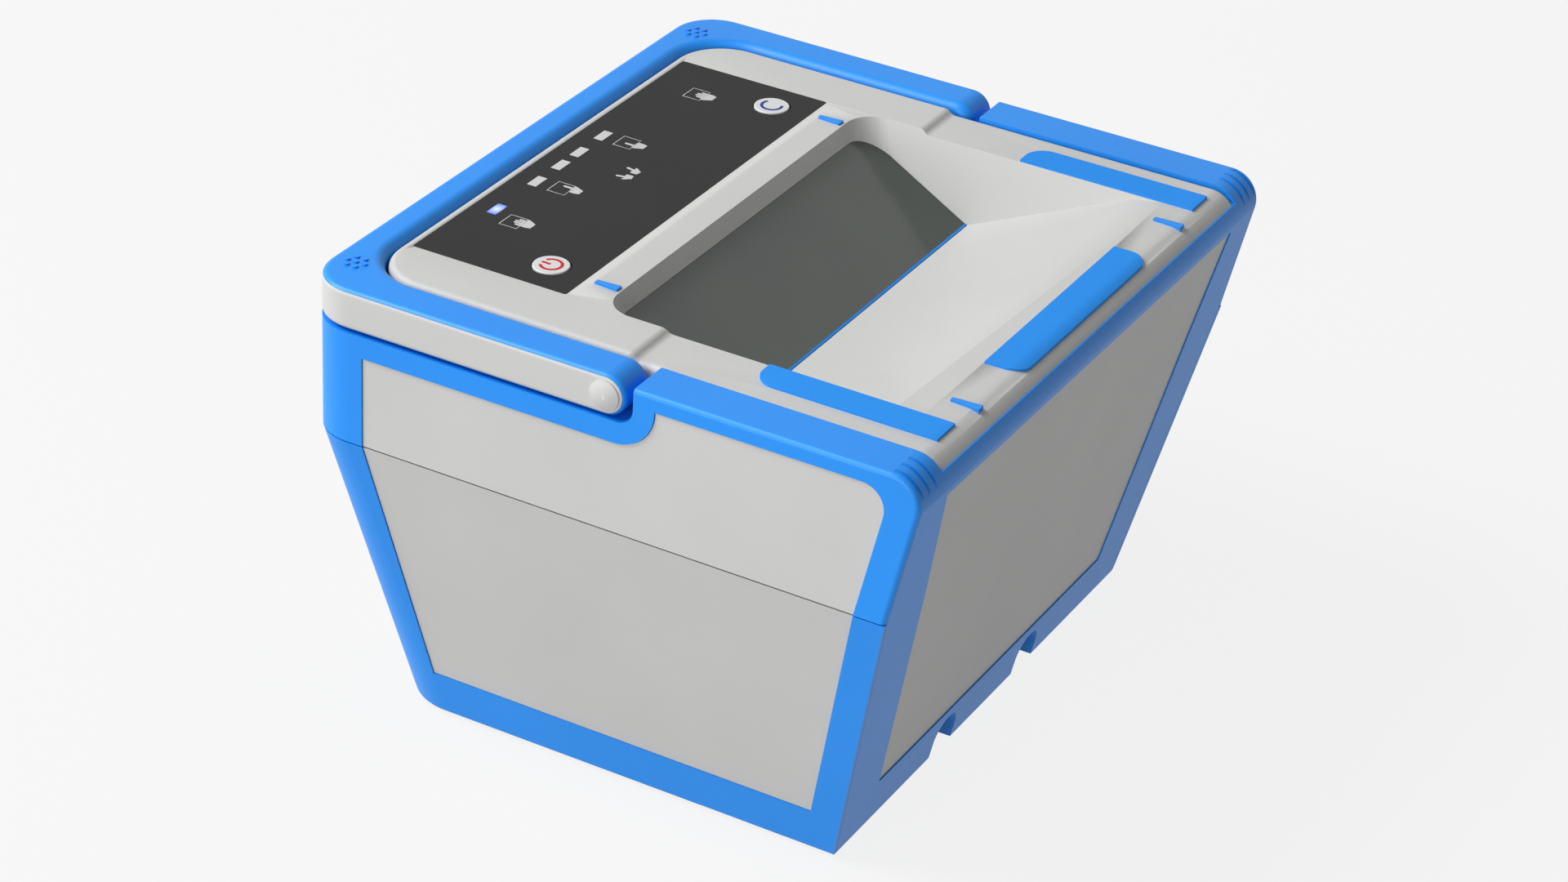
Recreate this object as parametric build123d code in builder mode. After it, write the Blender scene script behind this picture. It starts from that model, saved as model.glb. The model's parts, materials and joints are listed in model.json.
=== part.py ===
"""Desktop ten-finger fingerprint scanner with a folding carrying handle.

Frame: millimetres, +Z up, X across, the user stands on the -Y side.
The origin is on the table, under the middle of the casing's outer box.
"""

import math
import os

from build123d import *

os.makedirs("parts", exist_ok=True)

# --- overall casing ---------------------------------------------------------------
width = 150.0  # casing across the sides, above the seam
depth = 134.8  # front rounding to the back of the handle
foot_standoff = 0.8  # rubber feet below the casing's lower edge
seam_z = 65.0  # plane where the two halves of the casing meet
frame_top = 97.5  # top of the blue side bars
side_taper = 12.0  # each side comes in by this much from the seam to the lower edge
back_taper = 12.8  # and the back by this much
front_lean = 0.209  # run over rise of the leaning front face
front_round = 6.2  # radius of the front top edge
corner_round = 10.0  # vertical back corners, at the seam and above
foot_corner_round = 13.0  # and at the lower edge
least_round = 1.0  # of any corner drawn inwards
edge_round = 1.0  # small rounding along the side faces' front and top edges
wall = 4.0  # frame walls
seam_gap = 0.25  # height of the shadow groove at the seam
seam_depth = 0.8

# --- casing panels ----------------------------------------------------------------
panel_thick = 2.0
panel_recess = 0.3  # panels lie this far behind the frame's surface
panel_gap = 0.1  # round each panel in its pocket
panel_ledge = 3.0  # the ledge that each panel is bonded to
panel_foot_z = 10.6  # lower edge of the side and back panels
front_panel_foot_z = 11.2
front_panel_top_z = 89.1
front_bar_foot = 15.6  # blue beside the front panel: at its lower edge,
front_bar_seam = 16.9  # at the seam,
front_bar_top = 12.0  # and at its top
side_bar_front = 6.6  # blue in front of the side panels
side_bar_back_seam = 13.9  # blue behind the side panels, at the seam
side_bar_back_foot = 13.3
side_panel_top = 94.0
side_panel_corner = 5.0
rebate_bar = 4.6  # blue under the handle's rebate
dip_round = 8.75  # the panel's edge where it dips under the pivot
back_bar_seam = 18.0  # blue beside the back panels, at the seam and above
back_bar_foot = 16.0

# --- front bezel ------------------------------------------------------------------
bezel_inset = 1.2  # its side edges inside the casing's sides
bezel_top_z = 90.8
bezel_gap = 0.12  # parting line at its sides
bezel_top_gap = 0.03

# --- corner flutes ----------------------------------------------------------------
groove_pitch = 2.6
groove_width = 0.9
groove_depth = 0.35
groove_circle = 8.0
groove_turn = 126.0  # where on the front rounding they are deepest
groove_outward = 0.8

# --- carrying handle --------------------------------------------------------------
handle_top = 98.7
handle_height = 8.8
handle_arm = 9.6  # width of each arm
handle_back_bar = 7.1
handle_inner_round = 12.2
handle_outer_fillet = 1.3
handle_inner_fillet = 2.2
pivot_from_front = 66.4  # pivot axis behind the front rounding
rebate_floor = 89.4  # shelf under the handle
rebate_lead = 6.2  # rebate's front wall ahead of the pivot
rebate_round = 3.5
band_half = 3.75  # half height of the white band let into the handle
band_thick = 1.2
band_fit = 0.05
cap_diameter = 6.4
cap_rise = 0.3  # straight rim of the cap above the band
cap_dome = 0.7
cap_seat = 1.0  # depth of the cap's seat in the handle
pin_diameter = 2.4
bushing_diameter = 3.2
running_fit = 0.04  # radial clearance of the pins in their bushings
bushing_length = 4.0
lug_length = 10.0
lug_width = 5.0
skirt_hole = 3.4  # clearance hole for the pin through the cover's skirt
grip_dot = 1.1
grip_dot_pitch = 2.0
grip_dot_rise = 0.35
dots_inset = 10.4  # middle of each cluster inside the handle's sides
dots_back = 5.5  # and ahead of its back

# --- top cover --------------------------------------------------------------------
cover_top = 98.05  # raised rear part
cover_low_top = 96.97  # front part
cover_half = width / 2 - 10.25
cover_gap = 0.15  # to the side bars
cover_back_gap = 0.7  # to the handle
cover_round = 11.5  # vertical rear corners
cover_front_round = 6.0
cover_lip_z = 94.5  # lower edge of the front lip
cover_wall = 1.7
cover_fillet = 1.4
step_from_pivot = -1.3  # lower end of the step between both levels
step_run = 2.8
shelf_thick = 3.5
shelf_reach = 10.15  # shelf inside the cover's sides

# --- finger well ------------------------------------------------------------------
well_inset = 23.0  # well's rim inside the casing's sides
well_front = 11.6  # front rim behind the front rounding
well_back = 81.5  # back rim behind the front rounding
well_round = 7.0
well_draft = 0.2548  # side walls, run over drop
strip_length = 6.1  # shallow strip at the head of the ramp
strip_drop = 0.6
well_wall = 2.0
glass_front = (53.1, 15.67)  # glass front edge: behind the front rounding, below the low top
glass_back = (80.15, 2.97)
glass_thick = 2.0
glass_fit = 0.1
edge_strip = 0.6

# --- pads and guide marks on the cover ----------------------------------------------
pad_rise = 0.5
pad_sink = 0.6  # depth of the pockets under the pads
side_pad_width = 7.1
side_pad_front = 5.0  # behind the front rounding
side_pad_length = 39.2
side_pad_corner = 4.5
front_pad_half = 28.3
front_pad_front = 3.4
front_pad_corner = 4.0
guide_offset = 44.3  # guide marks off the middle plane
guide_length = 6.2
guide_narrow = 1.1
guide_wide = 1.9
guide_rise = 0.45
front_guide_front = 3.7

# --- control panel ----------------------------------------------------------------
overlay_inset = 23.26
overlay_back = 9.95  # from the back of the casing
overlay_length = 35.3
overlay_thick = 0.5
overlay_corner = 0.6
window_width = 4.4
window_length = 2.1
window_back = 14.9  # window centres from the back of the casing
window_places = (-29.15, -14.25, -5.3, 1.85, 11.1)
window_fit = 0.1
button_diameter = 7.5
button_offset = 43.25
button_back = 36.6
button_rise = 0.25
button_flange = 9.4
button_flange_thick = 0.8
button_gap = 0.3
button_travel = 0.6
stem_diameter = 3.0
switch_gap = 0.9  # stem above its switch at rest
board_thick = 1.6
keypad_z = 90.2  # underside of the keypad board
keypad_half = 50.0
keypad_length = 31.0
switch_size = 6.0
switch_height = 2.0

# --- base -------------------------------------------------------------------------
base_z = 9.2  # underside of the base plate, above the arched channels
base_thick = 2.0
base_fit = 0.2
base_ledge = 7.0  # width of the ledge above the base plate
base_ledge_thick = 2.5
arch_offset = 18.35  # middle of each arched channel
arch_width = 9.3
arch_height = 8.1
leg_diameter = 14.0
foot_diameter = 10.0
foot_seat = 0.6
screw_diameter = 3.0
screw_head = 5.5
screw_head_height = 1.8

# --- electronics and optics ---------------------------------------------------------
main_board_half = 35.0
main_board_length = 78.0
standoff_height = 4.0
chassis_z = 46.0
chassis_thick = 2.0
pillar_diameter = 7.0
holder_cheek = 2.6
holder_gap = 0.2
prism_depth = 15.0
lens_diameter = 16.0
lens_length = 15.0
lens_z = 60.0
usb_width = 12.0
usb_height = 6.5
usb_length = 16.0
usb_slot = (9.0, 3.0, 7.0)
usb_gap = 0.3

# --- derived places -----------------------------------------------------------------
half_width = width / 2
y_front = -depth / 2
y_back = depth / 2
round_y = y_front + front_round
round_z = frame_top - front_round
lean_length = math.hypot(1, front_lean)
pivot_y = y_front + pivot_from_front
pivot_z = handle_top - handle_height / 2
rebate_y = pivot_y - rebate_lead
handle_bottom = handle_top - handle_height
arm_round = handle_height / 2
cover_back = y_back - handle_back_bar - cover_back_gap
step_y = pivot_y + step_from_pivot
shelf_half = cover_half - shelf_reach
shelf_back = cover_back - shelf_reach
shelf_front = y_front + wall + 5.5
well_half = half_width - well_inset
strip_front = (y_front + well_front, cover_low_top)
strip_back = (strip_front[0] + strip_length, cover_low_top - strip_drop)
glass_a = (y_front + glass_front[0], cover_low_top - glass_front[1])
glass_b = (y_front + glass_back[0], cover_low_top - glass_back[1])
well_rear = y_front + well_back
glass_length = math.dist(glass_a, glass_b)
glass_along = ((glass_b[0] - glass_a[0]) / glass_length, (glass_b[1] - glass_a[1]) / glass_length)
glass_down = (glass_along[1], -glass_along[0])
overlay_y = y_back - overlay_back - overlay_length / 2
window_y = y_back - window_back
button_y = y_back - button_back
cover_under = cover_top - cover_wall
base_top = base_z + base_thick
reach = 2 * (width + depth + frame_top)  # longer than anything, for cutting blocks


# --- helpers ------------------------------------------------------------------------
def front_y(z, inset=0.0):
    """Y of the leaning front face at height z, or of the plane that lies inset behind it."""
    return round_y - (front_round - inset) * lean_length - front_lean * (z - round_z)


def lower_half(z):
    """Half width of the lower casing at height z."""
    return half_width - side_taper * (seam_z - z) / (seam_z - foot_standoff)


def lower_back(z):
    """Y of the lower casing's back face at height z."""
    return y_back - back_taper * (seam_z - z) / (seam_z - foot_standoff)


def on_circle(centre, radius, degrees):
    """Point of a circle in the plane that is being drawn on."""
    angle = math.radians(degrees)
    return (centre[0] + radius * math.cos(angle), centre[1] + radius * math.sin(angle))


def glass_point(along, down):
    """Point in the YZ plane, along the glass from its front edge and down into it."""
    return (
        glass_a[0] + along * glass_along[0] + down * glass_down[0],
        glass_a[1] + along * glass_along[1] + down * glass_down[1],
    )


def slab(x_range, y_range, z_range):
    """Plain block between the given limits."""
    size = [b - a for a, b in (x_range, y_range, z_range)]
    middle = [(a + b) / 2 for a, b in (x_range, y_range, z_range)]
    return Pos(*middle) * Box(*size, mode=Mode.PRIVATE)


def post(x, y, diameter, z_low, z_high):
    """Upright cylinder."""
    return Pos(x, y, (z_low + z_high) / 2) * Cylinder(diameter / 2, z_high - z_low, mode=Mode.PRIVATE)


def bar_x(y, z, diameter, x_low, x_high):
    """Cylinder along X."""
    middle = Pos((x_low + x_high) / 2, y, z)
    return middle * Rot(0, 90, 0) * Cylinder(diameter / 2, x_high - x_low, mode=Mode.PRIVATE)


def side_shape(points, half):
    """Polygon in the YZ plane, made into a block across both sides of the middle plane."""
    with BuildPart(mode=Mode.PRIVATE) as block:
        with BuildSketch(Plane.YZ):
            with BuildLine():
                Polyline(*points, close=True)
            make_face()
        extrude(amount=half, both=True)
    return block.part


def upper_block(inset, rounded=False):
    """Casing above the seam as one block, drawn in by inset."""
    radius = front_round - inset
    lean_angle = math.degrees(math.atan(front_lean))
    touch = on_circle((round_y, round_z), radius, 180 + lean_angle)
    middle = on_circle((round_y, round_z), radius, (270 + lean_angle) / 2)
    crown = (round_y, round_z + radius)
    with BuildPart(mode=Mode.PRIVATE) as block:
        with BuildSketch(Plane.YZ):
            with BuildLine():
                Line((front_y(seam_z, inset), seam_z), touch)
                ThreePointArc(touch, middle, crown)
                Line(crown, (y_back - inset, frame_top - inset))
                Line((y_back - inset, frame_top - inset), (y_back - inset, seam_z))
                Line((y_back - inset, seam_z), (front_y(seam_z, inset), seam_z))
            make_face()
        extrude(amount=half_width - inset, both=True)
        upright = block.edges().filter_by(Axis.Z).group_by(Axis.Y)[-1]
        fillet(upright, corner_round - inset)
        if rounded:
            sides = block.faces().filter_by(Axis.X)
            chain = sides.edges().filter_by_position(Axis.Z, seam_z + 1, reach)
            fillet(chain, edge_round)
    return block.part


def lower_block(inset, rounded=False):
    """Casing below the seam as one block, drawn in by inset."""
    with BuildPart(mode=Mode.PRIVATE) as block:
        for z in (foot_standoff, seam_z):
            half = lower_half(z) - inset
            back = lower_back(z) - inset
            with BuildSketch(Plane.XY.offset(z)) as section:
                with BuildLine():
                    Polyline(
                        (-half, front_y(z, inset)),
                        (half, front_y(z, inset)),
                        (half, back),
                        (-half, back),
                        close=True,
                    )
                make_face()
                radius = corner_round if z == seam_z else foot_corner_round
                fillet(section.vertices().group_by(Axis.Y)[-1], max(radius - inset, least_round))
        loft(ruled=True)
        if rounded:
            fronts = block.edges().filter_by(GeomType.LINE).group_by(Axis.Y)
            upright = [e for e in fronts[0] + fronts[1] + fronts[2] if abs(e.center().X) > 1]
            fillet(upright, edge_round)
    return block.part


def side_window(upper, margin):
    """Block through the right-hand side wall with its panel's outline, drawn in by margin."""
    with BuildPart(mode=Mode.PRIVATE) as block:
        with BuildSketch(Plane.YZ.offset(half_width - side_taper - 2 * wall)):
            back = y_back - side_bar_back_seam
            if upper:
                corner = side_panel_corner
                top = side_panel_top
                low_top = rebate_floor - rebate_bar
                dip_y = rebate_y - side_bar_front + 2.0
                dip_centre = (dip_y + dip_round, low_top + dip_round)
                with BuildLine():
                    Polyline(
                        (back, seam_z),
                        (front_y(seam_z) + side_bar_front, seam_z),
                        (front_y(top) + side_bar_front, top),
                        (dip_y, top),
                        (dip_y, dip_centre[1]),
                    )
                    ThreePointArc(
                        (dip_y, dip_centre[1]),
                        on_circle(dip_centre, dip_round, 225),
                        (dip_centre[0], low_top),
                    )
                    Polyline((dip_centre[0], low_top), (back, low_top), (back, seam_z))
                face = make_face()
                front_corner = (front_y(top) + side_bar_front, top, 0)
                fillet(face.vertices().sort_by_distance(front_corner)[0], corner)
            else:
                z = panel_foot_z
                with BuildLine():
                    Polyline(
                        (back, seam_z),
                        (front_y(seam_z) + side_bar_front, seam_z),
                        (front_y(z) + side_bar_front, z),
                        (lower_back(z) - side_bar_back_foot, z),
                        close=True,
                    )
                make_face()
            if margin:
                offset(amount=-margin, kind=Kind.INTERSECTION)
        extrude(amount=side_taper + 4 * wall)
    return block.part


def front_window(margin):
    """Block through the front wall with the front panel's outline, drawn in by margin."""
    foot_half = lower_half(front_panel_foot_z) - front_bar_foot
    seam_half = half_width - front_bar_seam
    top_half = half_width - front_bar_top
    with BuildPart(mode=Mode.PRIVATE) as block:
        with BuildSketch(Plane.XZ):
            with BuildLine():
                Polyline(
                    (-foot_half, front_panel_foot_z),
                    (foot_half, front_panel_foot_z),
                    (seam_half, seam_z),
                    (top_half, front_panel_top_z),
                    (-top_half, front_panel_top_z),
                    (-seam_half, seam_z),
                    close=True,
                )
            make_face()
            if margin:
                offset(amount=-margin, kind=Kind.INTERSECTION)
        extrude(amount=reach)
    return block.part


def back_window(upper, margin):
    """Block through the back wall with its panel's outline, drawn in by margin."""
    seam_half = half_width - back_bar_seam
    if upper:
        z_far = rebate_floor - rebate_bar
        far_half = seam_half
    else:
        z_far = panel_foot_z
        far_half = lower_half(z_far) - back_bar_foot
    with BuildPart(mode=Mode.PRIVATE) as block:
        with BuildSketch(Plane.XZ):
            with BuildLine():
                Polyline(
                    (-seam_half, seam_z),
                    (seam_half, seam_z),
                    (far_half, z_far),
                    (-far_half, z_far),
                    close=True,
                )
            make_face()
            if margin:
                offset(amount=-margin, kind=Kind.INTERSECTION)
        extrude(amount=-reach)
    return block.part


def bezel_zone(side_gap, top_gap):
    """Front wall from the lower edge to the bezel's top, grown by the given gaps."""
    top = bezel_top_z + top_gap
    proud = 5.0
    foot_half = lower_half(0) - bezel_inset + side_gap
    seam_half = half_width - bezel_inset + side_gap
    with BuildPart(mode=Mode.PRIVATE) as block:
        with BuildSketch(Plane.YZ):
            with BuildLine():
                Polyline(
                    (front_y(0, wall), 0),
                    (front_y(top, wall), top),
                    (front_y(top) - proud, top),
                    (front_y(0) - proud, 0),
                    close=True,
                )
            make_face()
        extrude(amount=half_width, both=True)
        with BuildSketch(Plane.XZ):
            with BuildLine():
                Polyline(
                    (-foot_half, 0),
                    (foot_half, 0),
                    (seam_half, seam_z),
                    (seam_half, top),
                    (-seam_half, top),
                    (-seam_half, seam_z),
                    close=True,
                )
            make_face()
        extrude(amount=reach, both=True, mode=Mode.INTERSECT)
    return block.part


def arch_block():
    """Both arched channels, as one block from front to back."""
    with BuildPart(mode=Mode.PRIVATE) as block:
        with BuildSketch(Plane.XZ) as arch:
            with Locations((-arch_offset, foot_standoff), (arch_offset, foot_standoff)):
                Rectangle(arch_width, 2 * arch_height)
            fillet(arch.vertices().group_by(Axis.Y)[-1], arch_width / 2 - 0.4)
        extrude(amount=reach, both=True)
    return block.part


# --- casing blocks and panels -------------------------------------------------------
upper_skin = upper_block(panel_recess) - upper_block(panel_recess + panel_thick)
lower_skin = lower_block(panel_recess) - lower_block(panel_recess + panel_thick)
above_groove = slab((-reach, reach), (-reach, reach), (seam_z + seam_gap, reach))

with BuildPart() as right_panel_upper:
    add(side_window(True, panel_gap))
    add(upper_skin, mode=Mode.INTERSECT)
    add(above_groove, mode=Mode.INTERSECT)

with BuildPart() as right_panel_lower:
    add(side_window(False, panel_gap))
    add(lower_skin, mode=Mode.INTERSECT)

with BuildPart() as left_panel_upper:
    add(mirror(right_panel_upper.part, about=Plane.YZ, mode=Mode.PRIVATE))

with BuildPart() as left_panel_lower:
    add(mirror(right_panel_lower.part, about=Plane.YZ, mode=Mode.PRIVATE))

with BuildPart() as front_panel:
    add(front_window(panel_gap) & upper_skin)
    add(front_window(panel_gap) & lower_skin)

with BuildPart() as back_panel_upper:
    add(back_window(True, panel_gap))
    add(upper_skin, mode=Mode.INTERSECT)
    add(above_groove, mode=Mode.INTERSECT)

usb_z = base_top + standoff_height + board_thick + usb_height / 2
usb_cut = (usb_width / 2 + usb_gap, usb_height / 2 + usb_gap)

with BuildPart() as back_panel_lower:
    add(back_window(False, panel_gap))
    add(lower_skin, mode=Mode.INTERSECT)
    with BuildSketch(Plane.XZ):
        with Locations((0, usb_z)):
            Rectangle(2 * usb_cut[0], 2 * usb_cut[1])
    extrude(amount=-reach, mode=Mode.SUBTRACT)

# --- frames -------------------------------------------------------------------------
upper_pocket = panel_recess + panel_thick + panel_gap
upper_cavity = upper_block(wall) & slab((-reach, reach), (-reach, reach), (0, rebate_floor - shelf_thick))
front_inner = front_y(rebate_floor, wall)
lug_x = (shelf_half + 1.0, shelf_half + 1.0 + lug_width)
lug_y = (pivot_y - lug_length / 2, pivot_y + lug_length / 2)
lug_top = pivot_z + bushing_diameter / 2
boss_diameter = 12.0
boss_x = half_width - wall - boss_diameter / 2 + 0.5
boss_places = (
    (boss_x, y_back - wall - 9.0),
    (-boss_x, y_back - wall - 9.0),
    (boss_x, front_y(seam_z, wall) + 5.0),
    (-boss_x, front_y(seam_z, wall) + 5.0),
)
boss_height = 8.0
cover_screw_x = shelf_half + screw_head / 2 + 0.5
cover_screw_places = (
    (cover_screw_x, y_front + 22),
    (-cover_screw_x, y_front + 22),
    (cover_screw_x, y_back - 38),
    (-cover_screw_x, y_back - 38),
)
seam_ring = slab((-reach, reach), (-reach, reach), (seam_z, seam_z + seam_gap))
groove_back = groove_circle - front_round + groove_depth
groove_centre = on_circle((round_y, round_z), groove_back, groove_turn + 180)


def panel_cuts(upper):
    """What is cut from a frame for its side and back panels: pockets, and the windows behind them."""
    inside = (upper_block if upper else lower_block)(upper_pocket)
    room = slab((0, half_width - wall), (-reach, reach), (seam_z if upper else 0, reach))
    through = side_window(upper, panel_ledge)
    if upper:
        through -= room
    cuts = [side_window(upper, 0) - inside, through]
    cuts += [mirror(cut, about=Plane.YZ, mode=Mode.PRIVATE) for cut in cuts]
    room = slab((-reach, reach), (shelf_front, shelf_back), (0, reach))
    cuts += [back_window(upper, 0) - inside, back_window(upper, panel_ledge) - room]
    return cuts


lug_tool = slab(lug_x, lug_y, (rebate_floor - shelf_thick, lug_top))
lug_tool -= bar_x(pivot_y, pivot_z, bushing_diameter, 0, reach)
cradle_y = (pivot_y - bushing_diameter / 2, pivot_y + bushing_diameter / 2)
lug_tool -= slab((0, reach), cradle_y, (pivot_z, reach))
lug_tool -= bar_x(pivot_y, pivot_z, skirt_hole, lug_x[0] + bushing_length, reach)

with BuildPart() as upper_frame:
    add(upper_block(0, rounded=True))
    add(upper_cavity, mode=Mode.SUBTRACT)
    add(slab((-shelf_half, shelf_half), (shelf_front, shelf_back), (seam_z, reach)), mode=Mode.SUBTRACT)
    slot_half = cover_half + cover_gap
    add(slab((-slot_half, slot_half), (front_inner, y_back + 1), (rebate_floor, reach)), mode=Mode.SUBTRACT)
    add(slab((-slot_half, slot_half), (-reach, front_inner), (cover_lip_z, reach)), mode=Mode.SUBTRACT)
    with BuildSketch(Plane.YZ):
        with BuildLine():
            Polyline((rebate_y, reach), (rebate_y, rebate_floor), (reach, rebate_floor), (reach, reach), close=True)
        face = make_face()
        fillet(face.vertices().sort_by_distance((rebate_y, rebate_floor, 0))[0], rebate_round)
    extrude(amount=reach, both=True, mode=Mode.SUBTRACT)
    for cut in panel_cuts(True):
        add(cut, mode=Mode.SUBTRACT)
    add(seam_ring - upper_block(seam_depth), mode=Mode.SUBTRACT)
    for place in boss_places:
        add(post(*place, boss_diameter, seam_z, seam_z + boss_height) & upper_block(wall / 2))
    for place in boss_places:
        add(post(*place, screw_diameter, seam_z, seam_z + boss_height - 2), mode=Mode.SUBTRACT)
    for place in cover_screw_places:
        add(post(*place, screw_diameter, seam_z, reach), mode=Mode.SUBTRACT)
    add(lug_tool)
    add(mirror(lug_tool, about=Plane.YZ, mode=Mode.PRIVATE))
    for side in (-1, 1):
        for number in (-1, 0, 1):
            x = side * ((half_width + slot_half) / 2 + groove_outward + number * groove_pitch)
            ring = slab((x - groove_width / 2, x + groove_width / 2), (y_front - 1, round_y), (round_z, frame_top + 1))
            disc = bar_x(*groove_centre, 2 * groove_circle, x - groove_width, x + groove_width)
            add(ring - disc, mode=Mode.SUBTRACT)
    add(bezel_zone(bezel_gap, bezel_top_gap), mode=Mode.SUBTRACT)

with BuildPart() as front_bezel:
    add(upper_block(0))
    add(lower_block(0))
    add(bezel_zone(0, 0), mode=Mode.INTERSECT)
    behind_panel = upper_block(upper_pocket) + lower_block(upper_pocket)
    add(front_window(0) - behind_panel, mode=Mode.SUBTRACT)
    add(front_window(panel_ledge), mode=Mode.SUBTRACT)
    add(arch_block(), mode=Mode.SUBTRACT)

leg_x = lower_half(base_z) - wall - leg_diameter / 2 - 1.5
leg_places = (
    (leg_x, lower_back(base_z) - wall - leg_diameter / 2 - 3.0),
    (-leg_x, lower_back(base_z) - wall - leg_diameter / 2 - 3.0),
    (leg_x, front_y(foot_standoff, wall) + leg_diameter / 2 + 1.0),
    (-leg_x, front_y(foot_standoff, wall) + leg_diameter / 2 + 1.0),
)
base_screw_x = lower_half(base_top) - wall - base_ledge / 2
base_screw_places = (
    (base_screw_x, -leg_diameter),
    (-base_screw_x, -leg_diameter),
    (base_screw_x, leg_diameter),
    (-base_screw_x, leg_diameter),
)
base_screw_depth = 2.0

with BuildPart() as lower_frame:
    add(lower_block(0, rounded=True))
    add(lower_block(wall), mode=Mode.SUBTRACT)
    ledge = lower_block(wall - 0.5) - lower_block(wall + base_ledge)
    add(ledge & slab((-reach, reach), (-reach, reach), (base_top, base_top + base_ledge_thick)))
    for cut in panel_cuts(False):
        add(cut - lower_block(wall), mode=Mode.SUBTRACT)
    add(arch_block() & slab((-reach, reach), (-reach, 0), (0, base_z)), mode=Mode.SUBTRACT)
    for place in base_screw_places:
        add(post(*place, screw_diameter, base_top, base_top + base_screw_depth), mode=Mode.SUBTRACT)
    for place in boss_places:
        add(post(*place, boss_diameter, seam_z - boss_height, seam_z) & lower_block(wall / 2))
    for place in boss_places:
        add(post(*place, screw_diameter, seam_z - boss_height, seam_z), mode=Mode.SUBTRACT)
    add(bezel_zone(bezel_gap, bezel_top_gap), mode=Mode.SUBTRACT)

with BuildPart() as frame_screws:
    for place in boss_places:
        add(post(*place, screw_diameter, seam_z - boss_height, seam_z + boss_height - 2.5))
        add(post(*place, screw_head, seam_z - boss_height - screw_head_height, seam_z - boss_height))

# --- base ---------------------------------------------------------------------------
with BuildPart() as base_plate:
    add(lower_block(wall + base_fit) & slab((-reach, reach), (-reach, reach), (base_z, base_top)))
    for place in leg_places:
        add(post(*place, leg_diameter, foot_standoff, base_z + base_thick / 2))
    for place in leg_places:
        add(post(*place, foot_diameter, 0, foot_standoff + foot_seat), mode=Mode.SUBTRACT)
    for place in base_screw_places:
        add(post(*place, screw_diameter, base_z, base_top), mode=Mode.SUBTRACT)

with BuildPart() as rubber_feet:
    for place in leg_places:
        add(post(*place, foot_diameter, 0, foot_standoff + foot_seat))
    fillet(rubber_feet.edges().group_by(Axis.Z)[0], 0.3)

with BuildPart() as base_screws:
    for place in base_screw_places:
        add(post(*place, screw_diameter, base_z, base_top + base_screw_depth))
        add(post(*place, screw_head, base_z - screw_head_height, base_z))

# --- top cover ----------------------------------------------------------------------
cover_round_y = y_front + 0.1 + cover_front_round



def cover_surface(rise):
    """Everything under the cover's top surface raised by rise, down to the rebate."""
    radius = cover_front_round + rise
    centre = (cover_round_y, cover_low_top - cover_front_round)
    lip = math.degrees(math.acos((cover_lip_z - centre[1]) / radius))
    low = cover_low_top + rise
    high = cover_top + rise
    middle = ((2 * step_y + step_run) / 2, (low + high) / 2)
    seat = front_inner + base_fit
    with BuildPart(mode=Mode.PRIVATE) as block:
        with BuildSketch(Plane.YZ):
            with BuildLine():
                ThreePointArc(
                    on_circle(centre, radius, 90 + lip),
                    on_circle(centre, radius, 90 + lip / 2),
                    (centre[0], low),
                )
                Line((centre[0], low), (step_y, low))
                TangentArc((step_y, low), middle, tangent=(1, 0))
                TangentArc((step_y + step_run, high), middle, tangent=(-1, 0))
                Polyline(
                    (step_y + step_run, high),
                    (cover_back, high),
                    (cover_back, rebate_floor),
                    (seat, rebate_floor),
                    (seat, cover_lip_z),
                    on_circle(centre, radius, 90 + lip),
                )
            make_face()
        extrude(amount=cover_half, both=True)
    return block.part


def well_shape(margin):
    """The finger well as a block, grown by margin: strip, ramp, glass and drafted side walls."""
    above = 6.0
    rear_slope = (well_rear - glass_b[0]) / (cover_top - glass_b[1])
    top = cover_top + above
    half_top = well_half + well_draft * (top - cover_low_top)
    low = glass_a[1] - 2 * above
    half_low = well_half - well_draft * (cover_low_top - low)
    with BuildPart(mode=Mode.PRIVATE) as block:
        with BuildSketch(Plane.YZ):
            with BuildLine():
                Polyline(
                    (strip_front[0], top),
                    strip_front,
                    strip_back,
                    glass_a,
                    glass_b,
                    (well_rear + rear_slope * above, top),
                    close=True,
                )
            make_face()
            if margin:
                offset(amount=margin, kind=Kind.INTERSECTION)
        extrude(amount=half_width, both=True)
        with BuildSketch(Plane.XZ):
            with BuildLine():
                Polyline((-half_top, top), (half_top, top), (half_low, low), (-half_low, low), close=True)
            make_face()
            if margin:
                offset(amount=margin, kind=Kind.INTERSECTION)
        extrude(amount=reach, both=True, mode=Mode.INTERSECT)
        if not margin:
            corners = [e for e in block.edges() if e.center().Y > glass_b[0] and abs(e.center().X) > 10]
            fillet(corners, well_round)
    return block.part


def glass_block(first, last, shallow, deep, fit):
    """Block that lies along the glass plane, between the well's drafted sides drawn in by fit."""
    points = [
        glass_point(first, shallow),
        glass_point(last, shallow),
        glass_point(last, deep),
        glass_point(first, deep),
    ]
    low = glass_a[1] - 10
    half_low = well_half - well_draft * (cover_low_top - low) - fit
    half_high = well_half - fit
    with BuildPart(mode=Mode.PRIVATE) as block:
        add(side_shape(points, half_width))
        with BuildSketch(Plane.XZ):
            with BuildLine():
                Polyline(
                    (-half_high, cover_low_top),
                    (half_high, cover_low_top),
                    (half_low, low),
                    (-half_low, low),
                    close=True,
                )
            make_face()
        extrude(amount=reach, both=True, mode=Mode.INTERSECT)
    return block.part


def outline_block(x_range, y_range, corner, which):
    """Upright block with the corners that which() picks rounded."""
    with BuildPart(mode=Mode.PRIVATE) as block:
        add(slab(x_range, y_range, (cover_lip_z, reach)))
        edges = [e for e in block.edges().filter_by(Axis.Z) if which(e.center())]
        fillet(edges, corner)
    return block.part


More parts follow.
